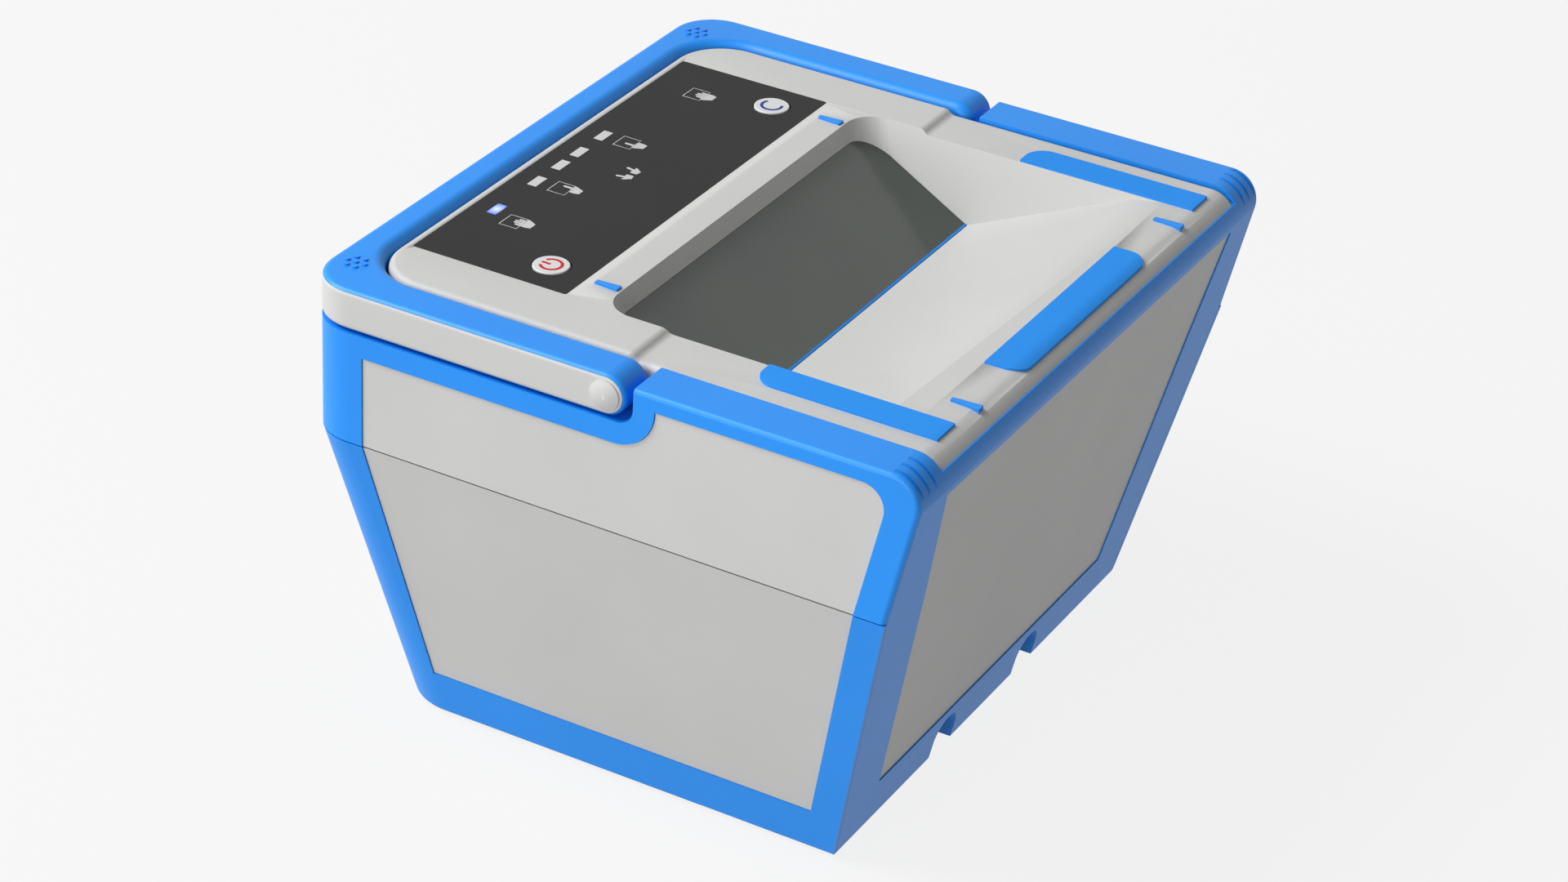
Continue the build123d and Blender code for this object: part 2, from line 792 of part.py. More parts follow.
def wedge_block(x_middle, y_narrow, y_wide, z_top):
    """Guide mark: an upright block that widens towards the user."""
    with BuildPart(mode=Mode.PRIVATE) as block:
        with BuildSketch(Plane.XY.offset(cover_lip_z)):
            with BuildLine():
                Polyline(
                    (x_middle - guide_narrow / 2, y_narrow),
                    (x_middle + guide_narrow / 2, y_narrow),
                    (x_middle + guide_wide / 2, y_wide),
                    (x_middle - guide_wide / 2, y_wide),
                    close=True,
                )
            make_face()
        extrude(amount=z_top - cover_lip_z)
    return block.part


sunk = cover_surface(-pad_sink)
pad_layer = cover_surface(pad_rise) - sunk
pad_x = (well_half + 0.2, well_half + 0.2 + side_pad_width)
pad_y = (y_front + side_pad_front, y_front + side_pad_front + side_pad_length)
right_pad_block = outline_block(pad_x, pad_y, side_pad_corner, lambda c: c.X > pad_x[1] - 1 and c.Y > pad_y[1] - 1)
front_pad_y = (y_front + front_pad_front, strip_front[0] - 0.4)
front_pad_block = outline_block(
    (-front_pad_half, front_pad_half), front_pad_y, front_pad_corner, lambda c: c.Y < front_pad_y[0] + 1
)
front_guide_y = y_front + front_guide_front
rear_guide_y = well_rear + 0.65
front_guide_blocks = [
    wedge_block(side * guide_offset, front_guide_y + guide_length, front_guide_y, cover_low_top + guide_rise)
    for side in (-1, 1)
]
rear_guide_blocks = [
    wedge_block(side * guide_offset, rear_guide_y + guide_length - 1, rear_guide_y, cover_top + guide_rise)
    for side in (-1, 1)
]

with BuildPart() as side_pad_right:
    add(right_pad_block & pad_layer)

with BuildPart() as side_pad_left:
    add(mirror(side_pad_right.part, about=Plane.YZ, mode=Mode.PRIVATE))

with BuildPart() as front_pad:
    add(front_pad_block & pad_layer)

with BuildPart() as front_guides:
    for block in front_guide_blocks:
        add(block - sunk)

with BuildPart() as rear_guides:
    for block in rear_guide_blocks:
        add(block - sunk)

overlay_x = (-half_width + overlay_inset, half_width - overlay_inset)
overlay_range = (overlay_y - overlay_length / 2, overlay_y + overlay_length / 2)
overlay_block = outline_block(overlay_x, overlay_range, overlay_corner, lambda c: True)
button_places = ((-button_offset, button_y), (button_offset, button_y))
keypad_y = (overlay_range[0] + 1.5, overlay_range[0] + 1.5 + keypad_length)
keypad_screw_places = (
    (-keypad_half / 2, overlay_y - 12),
    (keypad_half / 2, overlay_y - 12),
    (-keypad_half + 4, overlay_y + 6),
    (keypad_half - 4, overlay_y + 6),
)
cover_boss = 6.0
button_hole = button_diameter + 2 * button_gap

with BuildPart() as top_cover:
    add(cover_surface(0))
    fillet(top_cover.edges().filter_by(Axis.Z).group_by(Axis.Y)[-1], cover_round)
    flanks = top_cover.faces().filter_by(Axis.X).edges()
    fillet(flanks.filter_by_position(Axis.Z, cover_lip_z + 1, reach), cover_fillet)
    with BuildSketch(Plane.YZ):
        with BuildLine():
            Polyline(
                (front_inner + base_fit + cover_wall, rebate_floor),
                (front_inner + base_fit + cover_wall, cover_lip_z - cover_wall),
                (round_y, cover_low_top - cover_wall),
                (step_y + step_run, cover_low_top - cover_wall),
                (step_y + step_run, cover_under),
                (cover_back - cover_wall, cover_under),
                (cover_back - cover_wall, rebate_floor),
                close=True,
            )
        make_face()
    hollow = extrude(amount=cover_half - cover_wall, both=True, mode=Mode.PRIVATE)
    hollow = hollow.fillet(cover_round - cover_wall, hollow.edges().filter_by(Axis.Z).group_by(Axis.Y)[-1])
    add(hollow, mode=Mode.SUBTRACT)
    below = slab((-reach, reach), (-reach, reach), (0, cover_low_top - cover_wall / 2))
    below += slab((-reach, reach), (step_y + step_run, reach), (0, cover_top - cover_wall / 2))
    add(well_shape(well_wall) & below)
    for x, y in cover_screw_places:
        boss_top = (cover_top if y > step_y else cover_low_top) - cover_wall / 2
        add(post(x, y, cover_boss, rebate_floor, boss_top))
    for x, y in keypad_screw_places:
        add(post(x, y, cover_boss, keypad_z + board_thick, cover_top - cover_wall / 2))
    add(well_shape(0), mode=Mode.SUBTRACT)
    add(glass_block(0, glass_length, 0, well_wall + 0.5, 0), mode=Mode.SUBTRACT)
    lug_room = slab(
        (lug_x[0] - base_fit, lug_x[1] + base_fit),
        (lug_y[0] - base_fit, step_y + step_run),
        (rebate_floor, lug_top + 0.1),
    )
    add(lug_room, mode=Mode.SUBTRACT)
    add(mirror(lug_room, about=Plane.YZ, mode=Mode.PRIVATE), mode=Mode.SUBTRACT)
    for side in (-1, 1):
        ends = sorted((side * (lug_x[1] - 1), side * (cover_half + 1)))
        add(bar_x(pivot_y, pivot_z, skirt_hole, *ends), mode=Mode.SUBTRACT)
    for block in [right_pad_block, mirror(right_pad_block, about=Plane.YZ, mode=Mode.PRIVATE), front_pad_block]:
        add(block - sunk, mode=Mode.SUBTRACT)
    for block in front_guide_blocks + rear_guide_blocks:
        add(block - sunk, mode=Mode.SUBTRACT)
    pocket = slab((-reach, reach), (-reach, reach), (cover_top - overlay_thick, reach))
    add(overlay_block & pocket, mode=Mode.SUBTRACT)
    for x, y in button_places:
        add(post(x, y, button_hole, cover_under - 1, reach), mode=Mode.SUBTRACT)
    for x in window_places:
        half_x = window_width / 2 + window_fit
        half_y = window_length / 2 + window_fit
        hole = slab((x - half_x, x + half_x), (window_y - half_y, window_y + half_y), (cover_under - 1, reach))
        add(hole, mode=Mode.SUBTRACT)
    for x, y in cover_screw_places:
        add(post(x, y, screw_diameter, rebate_floor, cover_low_top - 3), mode=Mode.SUBTRACT)
    for x, y in keypad_screw_places:
        add(post(x, y, screw_diameter, keypad_z, cover_under - 1), mode=Mode.SUBTRACT)

with BuildPart() as cover_screws:
    for x, y in cover_screw_places:
        low = rebate_floor - shelf_thick
        add(post(x, y, screw_diameter, low, cover_low_top - 3.5))
        add(post(x, y, screw_head, low - screw_head_height, low))

# --- control panel ------------------------------------------------------------------
with BuildPart() as control_overlay:
    add(overlay_block & slab((-reach, reach), (-reach, reach), (cover_top - overlay_thick, cover_top)))
    for x, y in button_places:
        add(post(x, y, button_hole, cover_under, reach), mode=Mode.SUBTRACT)
    for x in window_places:
        half_x = window_width / 2 + window_fit
        half_y = window_length / 2 + window_fit
        hole = slab((x - half_x, x + half_x), (window_y - half_y, window_y + half_y), (cover_under, reach))
        add(hole, mode=Mode.SUBTRACT)

keypad_top = keypad_z + board_thick
led_height = 0.8
led_gap = 0.4
window_names = (
    "status_window_left_hand",
    "status_window_left_thumb",
    "status_window_two_thumbs",
    "status_window_ready",
    "status_window_right_hand",
)
status_windows = []
for name, x in zip(window_names, window_places):
    with BuildPart() as window:
        with BuildSketch(Plane.XY.offset(keypad_top + led_height + led_gap)):
            with Locations((x, window_y)):
                Rectangle(window_width, window_length)
        extrude(amount=cover_top - keypad_top - led_height - led_gap)
    window.part.label = name
    status_windows.append(window.part)

with BuildPart() as indicator_leds:
    with BuildSketch(Plane.XY.offset(keypad_top)):
        with Locations([(x, window_y) for x in window_places]):
            Rectangle(2.0, 1.2)
    extrude(amount=led_height)

flange_top = cover_under - button_gap
buttons = []
for name, (x, y) in zip(("power_button", "rescan_button"), button_places):
    with BuildPart() as button:
        add(post(x, y, button_diameter, flange_top, cover_top + button_rise))
        fillet(button.edges().group_by(Axis.Z)[-1], button_rise)
        add(post(x, y, button_flange, flange_top - button_flange_thick, flange_top))
        add(post(x, y, stem_diameter, keypad_top + switch_height + switch_gap, flange_top))
    button.part.label = name
    buttons.append(button.part)

with BuildPart() as keypad_switches:
    for x, y in button_places:
        half = switch_size / 2
        top = keypad_top + switch_height
        add(slab((x - half, x + half), (y - half, y + half), (keypad_top, top - 0.5)))
        add(post(x, y, stem_diameter, top - 0.5, top))

with BuildPart() as keypad_board:
    add(slab((-keypad_half, keypad_half), keypad_y, (keypad_z, keypad_top)))
    for x, y in keypad_screw_places:
        add(post(x, y, screw_diameter, keypad_z, keypad_top), mode=Mode.SUBTRACT)

with BuildPart() as keypad_screws:
    for x, y in keypad_screw_places:
        add(post(x, y, screw_diameter, keypad_z, cover_under - 1.5))
        add(post(x, y, screw_head, keypad_z - screw_head_height, keypad_z))

# --- glass, prism and camera --------------------------------------------------------
with BuildPart() as platen_glass:
    add(glass_block(edge_strip, glass_length - glass_fit, 0, glass_thick, glass_fit))

with BuildPart() as platen_edge_strip:
    add(glass_block(glass_fit, edge_strip, -0.1, glass_thick, glass_fit))

prism_half = well_half - 6.0
prism_start = 1.5
prism_end = glass_length - 0.8
prism_middle = (prism_start + prism_end) / 2
prism_tip = glass_thick + prism_depth
with BuildPart() as platen_prism:
    corners = [(prism_start, glass_thick), (prism_end, glass_thick), (prism_middle, prism_tip)]
    add(side_shape([glass_point(*corner) for corner in corners], prism_half))

chassis_top = chassis_z + chassis_thick
holder_in = prism_half + holder_gap
holder_out = holder_in + holder_cheek
holder_seat = well_wall + 0.15
holder_front = glass_point(1.0, holder_seat)
holder_back = glass_point(glass_length - 1.0, holder_seat)
rail_thick = 6.0
with BuildPart() as prism_holder:
    points = [(holder_front[0], chassis_top), holder_front, holder_back, (holder_back[0], chassis_top)]
    add(side_shape(points, holder_out))
    add(slab((-holder_in, holder_in), (-reach, reach), (chassis_top, reach)), mode=Mode.SUBTRACT)
    rail_y = (holder_back[0] - rail_thick, holder_back[0])
    add(slab((-holder_out, holder_out), rail_y, (chassis_top, chassis_top + rail_thick)))

leg_run = prism_end - prism_middle
leg_size = math.hypot(leg_run, prism_depth)
leg_out = (prism_depth / leg_size, leg_run / leg_size)


def beside_prism(share, off):
    """Point at a share of the way up the prism's rear face, held off it, in the YZ plane."""
    along = prism_middle + share * leg_run + off * leg_out[0]
    return glass_point(along, prism_tip - share * prism_depth + off * leg_out[1])


def lit_plate(near, far):
    """Flat plate parallel to the prism's rear face, between the holder's cheeks."""
    return side_shape(
        [beside_prism(0.1, near), beside_prism(0.8, near), beside_prism(0.8, far), beside_prism(0.1, far)],
        prism_half,
    )


diffuser_off = 0.5
diffuser_thick = 1.5
with BuildPart() as light_diffuser:
    add(lit_plate(diffuser_off, diffuser_off + diffuser_thick))

with BuildPart() as illumination_board:
    near = diffuser_off + diffuser_thick + diffuser_off
    add(lit_plate(near, near + board_thick))

wedge_size = 16.0
wedge_back = rail_y[0] - 1.0
wedge_half = 20.0
mirror_thick = 2.0
with BuildPart() as mirror_wedge:
    points = [
        (wedge_back - wedge_size, chassis_top),
        (wedge_back, chassis_top),
        (wedge_back, chassis_top + wedge_size),
    ]
    add(side_shape(points, wedge_half))

with BuildPart() as fold_mirror:
    shift = mirror_thick / math.sqrt(2)
    low = (wedge_back - wedge_size + shift, chassis_top + shift)
    high = (wedge_back - shift, chassis_top + wedge_size - shift)
    points = [low, high, (high[0] - shift, high[1] + shift), (low[0] - shift, low[1] + shift)]
    add(side_shape(points, wedge_half - 1))

lens_back = wedge_back - wedge_size - 6.0
lens_y = (lens_back - lens_length, lens_back)
mount_half = lens_diameter / 2 + 3.0


def bar_y(x, z, diameter, y_range):
    """Cylinder along Y."""
    middle = Pos(x, sum(y_range) / 2, z)
    return middle * Rot(90, 0, 0) * Cylinder(diameter / 2, y_range[1] - y_range[0], mode=Mode.PRIVATE)


lens_barrel_wall = 1.5
with BuildPart() as lens_mount:
    mount_y = (lens_y[0] + 2, lens_y[1] - 3)
    add(slab((-mount_half, mount_half), mount_y, (chassis_top, lens_z + mount_half)))
    add(bar_y(0, lens_z, lens_diameter, (-half_width, half_width)), mode=Mode.SUBTRACT)

with BuildPart() as lens_barrel:
    add(bar_y(0, lens_z, lens_diameter - 0.1, lens_y))
    add(bar_y(0, lens_z, lens_diameter - 2 * lens_barrel_wall, (-half_width, half_width)), mode=Mode.SUBTRACT)

with BuildPart() as lens_glass:
    bore = lens_diameter - 2 * lens_barrel_wall - 0.1
    add(bar_y(0, lens_z, bore, (lens_y[1] - 4.5, lens_y[1] - 1)))
    add(bar_y(0, lens_z, bore, (lens_y[0] + 1, lens_y[0] + 4)))

sensor_y = lens_y[0] - 5.0
sensor_thick = 1.2
with BuildPart() as sensor_board:
    add(slab((-16, 16), (sensor_y - board_thick, sensor_y), (chassis_top, lens_z + 12)))

with BuildPart() as image_sensor:
    add(slab((-6, 6), (sensor_y, sensor_y + sensor_thick), (lens_z - 6, lens_z + 6)))

chassis_half = 50.0
chassis_y = (sensor_y - board_thick - 4.0, holder_back[0] + 10.0)
pillar_x = main_board_half + pillar_diameter
pillar_places = [
    (x, y) for x in (-pillar_x, pillar_x) for y in (chassis_y[0] + pillar_diameter, chassis_y[1] - pillar_diameter)
]
with BuildPart() as optics_chassis:
    add(slab((-chassis_half, chassis_half), chassis_y, (chassis_z, chassis_top)))
    fillet(optics_chassis.edges().filter_by(Axis.Z), 3.0)

with BuildPart() as chassis_pillars:
    for place in pillar_places:
        add(post(*place, pillar_diameter, base_top, chassis_z))

# --- electronics on the base ----------------------------------------------------------
board_z = base_top + standoff_height
board_back = lower_back(board_z) - wall - 1.5
board_y = (board_back - main_board_length, board_back)
standoff_places = [(x, y) for x in (-main_board_half + 4, main_board_half - 4) for y in (board_y[0] + 4, board_y[1] - 12)]
standoff_diameter = 5.0
with BuildPart() as board_standoffs:
    for place in standoff_places:
        add(post(*place, standoff_diameter, base_top, board_z))
        add(post(*place, screw_diameter, base_top, board_z), mode=Mode.SUBTRACT)

with BuildPart() as main_board:
    add(slab((-main_board_half, main_board_half), board_y, (board_z, board_z + board_thick)))
    for place in standoff_places:
        add(post(*place, screw_diameter, base_top, reach), mode=Mode.SUBTRACT)

with BuildPart() as board_screws:
    for place in standoff_places:
        add(post(*place, screw_diameter, base_top + 0.5, board_z + board_thick))
        add(post(*place, screw_head, board_z + board_thick, board_z + board_thick + screw_head_height))

fin_pitch = 4.0
with BuildPart() as processor_heatsink:
    top = board_z + board_thick
    add(slab((-12, 12), (-6, 18), (top, top + 4)))
    with BuildSketch(Plane.XY.offset(top + 4)):
        with GridLocations(fin_pitch, 0, 6, 1):
            with Locations((0, 6)):
                Rectangle(1.2, 24)
    extrude(amount=8)

usb_back = lower_back(usb_z - usb_height / 2) - panel_recess - 0.2
with BuildPart() as usb_connector:
    usb_y = (usb_back - usb_length, usb_back)
    usb_box = (board_z + board_thick, board_z + board_thick + usb_height)
    add(slab((-usb_width / 2, usb_width / 2), usb_y, usb_box))
    slot_x = (-usb_slot[0] / 2, usb_slot[0] / 2)
    slot_z = (usb_z - usb_slot[1] / 2, usb_z + usb_slot[1] / 2)
    add(slab(slot_x, (usb_back - usb_slot[2], usb_back + 1), slot_z), mode=Mode.SUBTRACT)

# --- carrying handle ----------------------------------------------------------------
def u_shape(outset, arm, back_bar, inner_round, z_range):
    """U seen from above: arms along both sides and a bar across the back, drawn in by outset."""
    outer = half_width - outset
    back = y_back - outset
    with BuildPart(mode=Mode.PRIVATE) as block:
        with BuildSketch(Plane.XY.offset(z_range[0])) as plan:
            with BuildLine():
                front = pivot_y - arm_round
                Polyline((-outer, front), (outer, front), (outer, back), (-outer, back), close=True)
            make_face()
            fillet(plan.vertices().group_by(Axis.Y)[-1], corner_round - outset)
            with BuildSketch(mode=Mode.SUBTRACT) as inside:
                inner = outer - arm
                with BuildLine():
                    far = back - back_bar
                    Polyline((-inner, -reach), (inner, -reach), (inner, far), (-inner, far), close=True)
                make_face()
                fillet(inside.vertices().group_by(Axis.Y)[-1], inner_round)
        extrude(amount=z_range[1] - z_range[0])
    return block.part


def arm_profile(radius):
    """Block across the casing whose side view is the arms' outline, round about the pivot."""
    with BuildPart(mode=Mode.PRIVATE) as block:
        with BuildSketch(Plane.YZ):
            with Locations((pivot_y, pivot_z)):
                Circle(radius)
            with Locations(((pivot_y + y_back + 1) / 2, pivot_z)):
                Rectangle(y_back + 1 - pivot_y, 2 * radius)
        extrude(amount=reach, both=True)
    return block.part


def band_shape(thick, half):
    """Layer of the handle's outer side that takes the white band."""
    ring = u_shape(0, thick, thick, corner_round - thick, (pivot_z - half, pivot_z + half))
    return ring & arm_profile(half)


pin_reach = half_width - band_thick - cap_seat
cap_places = (-1, 1)
inner_x = half_width - handle_arm
with BuildPart() as handle_form:
    add(u_shape(0, handle_arm, handle_back_bar, handle_inner_round, (handle_bottom, handle_top)))
    add(arm_profile(arm_round), mode=Mode.INTERSECT)
    cheeks = handle_form.faces().filter_by(Axis.X)
    outer_edges = [e for e in cheeks.edges() if abs(abs(e.center().X) - half_width) < 0.01]
    fillet(outer_edges, handle_outer_fillet)
    cheeks = handle_form.faces().filter_by(Axis.X)
    inner_edges = [e for e in cheeks.edges() if abs(abs(e.center().X) - inner_x) < 0.01]
    fillet(inner_edges, handle_inner_fillet)

with BuildPart() as handle:
    add(handle_form.part)
    add(band_shape(band_thick + band_fit, band_half + band_fit), mode=Mode.SUBTRACT)
    for side in cap_places:
        pin_ends = sorted((side * (inner_x - 1), side * pin_reach))
        cap_ends = sorted((side * pin_reach, side * reach))
        add(bar_x(pivot_y, pivot_z, pin_diameter, *pin_ends), mode=Mode.SUBTRACT)
        add(bar_x(pivot_y, pivot_z, cap_diameter, *cap_ends), mode=Mode.SUBTRACT)
        dot_middle = (side * (half_width - dots_inset), y_back - dots_back)
        dots = [dot_middle] + [on_circle(dot_middle, grip_dot_pitch, 60 * n + 30) for n in range(6)]
        for dot in dots:
            add(post(*dot, grip_dot, handle_top - 1, handle_top + grip_dot_rise))

with BuildPart() as handle_band:
    add(band_shape(band_thick, band_half) & handle_form.part)
    for side in cap_places:
        cap_ends = sorted((side * pin_reach, side * reach))
        add(bar_x(pivot_y, pivot_z, cap_diameter, *cap_ends), mode=Mode.SUBTRACT)

with BuildPart() as pivot_caps:
    radius = cap_diameter / 2
    with BuildSketch(Plane(origin=(0, pivot_y, pivot_z), x_dir=(1, 0, 0), z_dir=(0, -1, 0))):
        with BuildLine():
            rim = half_width + cap_rise
            dome_radius = (radius**2 + cap_dome**2) / (2 * cap_dome)
            dome_centre = (rim + cap_dome - dome_radius, 0)
            dome_edge = math.degrees(math.asin(radius / dome_radius))
            Polyline((rim + cap_dome, 0), (pin_reach, 0), (pin_reach, radius), (rim, radius))
            ThreePointArc(
                (rim, radius),
                on_circle(dome_centre, dome_radius, dome_edge / 2),
                (rim + cap_dome, 0),
            )
        make_face()
    revolve(axis=Axis((0, pivot_y, pivot_z), (1, 0, 0)))
    mirror(about=Plane.YZ)

with BuildPart() as pivot_pins:
    for side in cap_places:
        ends = sorted((side * lug_x[0], side * pin_reach))
        add(bar_x(pivot_y, pivot_z, pin_diameter, *ends))

with BuildPart() as pivot_bushings:
    for side in cap_places:
        ends = sorted((side * lug_x[0], side * (lug_x[0] + bushing_length)))
        add(bar_x(pivot_y, pivot_z, bushing_diameter, *ends))
    add(bar_x(pivot_y, pivot_z, pin_diameter + 2 * running_fit, -reach, reach), mode=Mode.SUBTRACT)

# --- files --------------------------------------------------------------------------
pieces = {
    "upper_frame": upper_frame,
    "lower_frame": lower_frame,
    "left_panel_upper": left_panel_upper,
    "left_panel_lower": left_panel_lower,
    "right_panel_upper": right_panel_upper,
    "right_panel_lower": right_panel_lower,
    "front_bezel": front_bezel,
    "front_panel": front_panel,
    "back_panel_upper": back_panel_upper,
    "back_panel_lower": back_panel_lower,
    "frame_screws": frame_screws,
    "base_plate": base_plate,
    "rubber_feet": rubber_feet,
    "base_screws": base_screws,
    "top_cover": top_cover,
    "cover_screws": cover_screws,
    "side_pad_left": side_pad_left,
    "side_pad_right": side_pad_right,
    "front_pad": front_pad,
    "front_guides": front_guides,
    "rear_guides": rear_guides,
    "control_overlay": control_overlay,
    "keypad_board": keypad_board,
    "keypad_switches": keypad_switches,
    "keypad_screws": keypad_screws,
    "indicator_leds": indicator_leds,
    "platen_glass": platen_glass,
    "platen_edge_strip": platen_edge_strip,
    "platen_prism": platen_prism,
    "prism_holder": prism_holder,
    "illumination_board": illumination_board,
    "light_diffuser": light_diffuser,
    "mirror_wedge": mirror_wedge,
    "fold_mirror": fold_mirror,
    "lens_mount": lens_mount,
    "lens_barrel": lens_barrel,
    "lens_glass": lens_glass,
    "sensor_board": sensor_board,
    "image_sensor": image_sensor,
    "optics_chassis": optics_chassis,
    "chassis_pillars": chassis_pillars,
    "board_standoffs": board_standoffs,
    "main_board": main_board,
    "board_screws": board_screws,
    "processor_heatsink": processor_heatsink,
    "usb_connector": usb_connector,
    "handle": handle,
    "handle_band": handle_band,
    "pivot_caps": pivot_caps,
    "pivot_pins": pivot_pins,
    "pivot_bushings": pivot_bushings,
}
for name, piece in pieces.items():
    piece.part.label = name
    export_step(piece.part, f"parts/{name}.step")
for piece in status_windows + buttons:
    export_step(piece, f"parts/{piece.label}.step")
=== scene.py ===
import json
import math

import bmesh
import bpy
from mathutils import Matrix, Vector


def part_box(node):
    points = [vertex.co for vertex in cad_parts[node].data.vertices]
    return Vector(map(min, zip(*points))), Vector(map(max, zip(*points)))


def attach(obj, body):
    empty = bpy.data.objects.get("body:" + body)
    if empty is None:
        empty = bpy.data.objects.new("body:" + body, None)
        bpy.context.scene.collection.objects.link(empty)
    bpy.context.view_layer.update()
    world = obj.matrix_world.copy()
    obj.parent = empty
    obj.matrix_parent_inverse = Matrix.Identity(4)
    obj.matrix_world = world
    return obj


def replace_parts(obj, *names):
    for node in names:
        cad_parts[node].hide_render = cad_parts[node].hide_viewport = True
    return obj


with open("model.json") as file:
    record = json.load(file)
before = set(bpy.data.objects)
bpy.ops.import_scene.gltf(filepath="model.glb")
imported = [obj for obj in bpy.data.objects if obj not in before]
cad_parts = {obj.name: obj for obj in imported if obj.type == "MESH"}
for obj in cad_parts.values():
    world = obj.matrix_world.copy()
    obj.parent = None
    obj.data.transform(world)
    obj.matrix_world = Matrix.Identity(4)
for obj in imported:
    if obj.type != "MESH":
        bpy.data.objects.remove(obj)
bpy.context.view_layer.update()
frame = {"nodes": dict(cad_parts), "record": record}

MM = 0.001

# --- sizes of the pieces made here, in millimetres ---------------------------------------
well_half = 52.0  # finger well at the cover's front level
well_front = -55.8
well_rear = 14.1
rim_round = 1.0  # rounding of the well's rim
rim_steps = 4
rim_deep = 1.3  # rim edges lie within this depth of the cover's top
rim_side = 0.6  # and within these margins of the well's outline
rim_front = 0.1
rim_back = 0.7
cover_crease = 22.0  # folds of the cover sharper than this stay crisp, in degrees

ink_height = 0.03  # printed ink stands this far above the film
frame_line = 0.2  # printed line at its mitred corners, which leaves 0.14 along the sides
symbol_wide = 4.6
symbol_deep = 4.0
symbol_places = (-31.85, -14.15, 11.1, 39.15)  # squares across the panel
symbol_y = 46.75
hand_shifts = (0.4, 0.6, 0.2, 0.2)  # each hand's middle, to the right of its square's
hand_drop = 1.9  # and in front of it
hand_scale = 0.78
thumbs_place = (-0.75, 39.3)
thumbs_apart = 1.6
thumb_scale = 0.72
thumb_turn = 12.0
ring_line = 0.65  # line width of the key symbols
ring_radius = 2.15
power_arc = (122, 418)  # start and end in degrees, open at the back
power_bar_start = 0.2
rescan_arc = (53, 297)

shade_drift = 40  # a moulded colour drifts over about this distance
grain_depth = 0.05
gloss_spread = 0.06  # roughness wanders this much either way over the grain
lamp_reach = (2.6, 2.0)  # the lit window's bright patch, across and along
screw_head = 5.5
screw_head_height = 1.8
screw_recess = 0.9
screw_recess_reach = 0.6  # share of the head's diameter

# --- floor and light -----------------------------------------------------------------------
floor_size = 3.0
floor_glow = 0.85  # the paper's own brightness as it is seen and reflected
floor_bounce = 0.31  # and what it sends back onto the casing
air_shown = 0.98
air_light = 0.23
light_target = (0.0, 0.0, 0.05)
key_place_and_power = ((-0.45, 0.90, 1.10), 0.8, 24.0)  # place, size and watts
side_place_and_power = ((-1.50, 0.15, 0.10), 1.0, 19.0)

# --- camera --------------------------------------------------------------------------------
SENSOR = 36.0
LENS = 95.392
camera_place = Vector((-0.650677, -0.344260, 0.476919))
camera_right = Vector((0.4922214, -0.8691498, 0.0479243))
camera_down = Vector((-0.4183886, -0.2845048, -0.8625590))
camera_forward = Vector((0.7633277, 0.4045190, -0.5036817))

camera = bpy.data.objects.new("view_camera", bpy.data.cameras.new("view_camera"))
camera.data.lens = LENS
camera.data.sensor_width = SENSOR
camera.data.clip_end = 50.0
axes = Matrix((camera_right, -camera_down, -camera_forward)).transposed()
camera.matrix_world = Matrix.Translation(camera_place) @ axes.to_4x4()
bpy.context.scene.collection.objects.link(camera)
bpy.context.scene.camera = camera
bpy.context.scene.view_settings.view_transform = "Standard"


# --- materials -----------------------------------------------------------------------------
def linear(hex_colour):
    """sRGB hex colour as the linear RGBA that the shader reads."""
    channels = [int(hex_colour[i : i + 2], 16) / 255 for i in (0, 2, 4)]
    return [c / 12.92 if c <= 0.04045 else ((c + 0.055) / 1.055) ** 2.4 for c in channels] + [1.0]


def add_node(tree, kind, settings=None, links=None):
    """Adds a node; settings are its properties or socket values, links the sockets that feed its inputs."""
    node = tree.nodes.new(kind)
    for name, value in (settings or {}).items():
        if isinstance(name, str) and hasattr(node, name):
            setattr(node, name, value)
        else:
            node.inputs[name].default_value = value
    for name, source in (links or {}).items():
        tree.links.new(source, node.inputs[name])
    return node


def new_material(name, **shader):
    """Material with one Principled shader set from the given socket values."""
    made = bpy.data.materials.new(name)
    made.use_nodes = True
    tree = made.node_tree
    tree.nodes.clear()
    surface = add_node(tree, "ShaderNodeBsdfPrincipled", shader)
    add_node(tree, "ShaderNodeOutputMaterial", None, {"Surface": surface.outputs[0]})
    place = add_node(tree, "ShaderNodeTexCoord").outputs["Object"]
    return made, tree, surface, place


def moulded(name, light, dark, rough, grain, relief, **shader):
    """Moulded finish: colour drifts between two close shades, and a fine grain breaks up the gloss."""
    made, tree, surface, place = new_material(name, **shader)
    slowness = 1 / (shade_drift * MM)
    drift = add_node(tree, "ShaderNodeTexNoise", {"Scale": slowness, "Detail": 3.0}, {"Vector": place})
    shades = add_node(tree, "ShaderNodeValToRGB", None, {"Fac": drift.outputs["Fac"]})
    shades.color_ramp.elements[0].position = 0.3
    shades.color_ramp.elements[0].color = linear(dark)
    shades.color_ramp.elements[1].position = 0.7
    shades.color_ramp.elements[1].color = linear(light)
    tree.links.new(shades.outputs["Color"], surface.inputs["Base Color"])
    fineness = 1 / (grain * MM)
    specks = add_node(tree, "ShaderNodeTexNoise", {"Scale": fineness, "Detail": 2.0}, {"Vector": place})
    gloss = add_node(
        tree,
        "ShaderNodeMapRange",
        {"To Min": rough - gloss_spread, "To Max": rough + gloss_spread},
        {"Value": specks.outputs["Fac"]},
    )
    tree.links.new(gloss.outputs["Result"], surface.inputs["Roughness"])
    bump = add_node(
        tree,
        "ShaderNodeBump",
        {"Strength": relief, "Distance": grain_depth * MM},
        {"Height": specks.outputs["Fac"]},
    )
    tree.links.new(bump.outputs["Normal"], surface.inputs["Normal"])
    return made


SATIN = {"Specular IOR Level": 0.38}
VELVET = {"Specular IOR Level": 0.15}

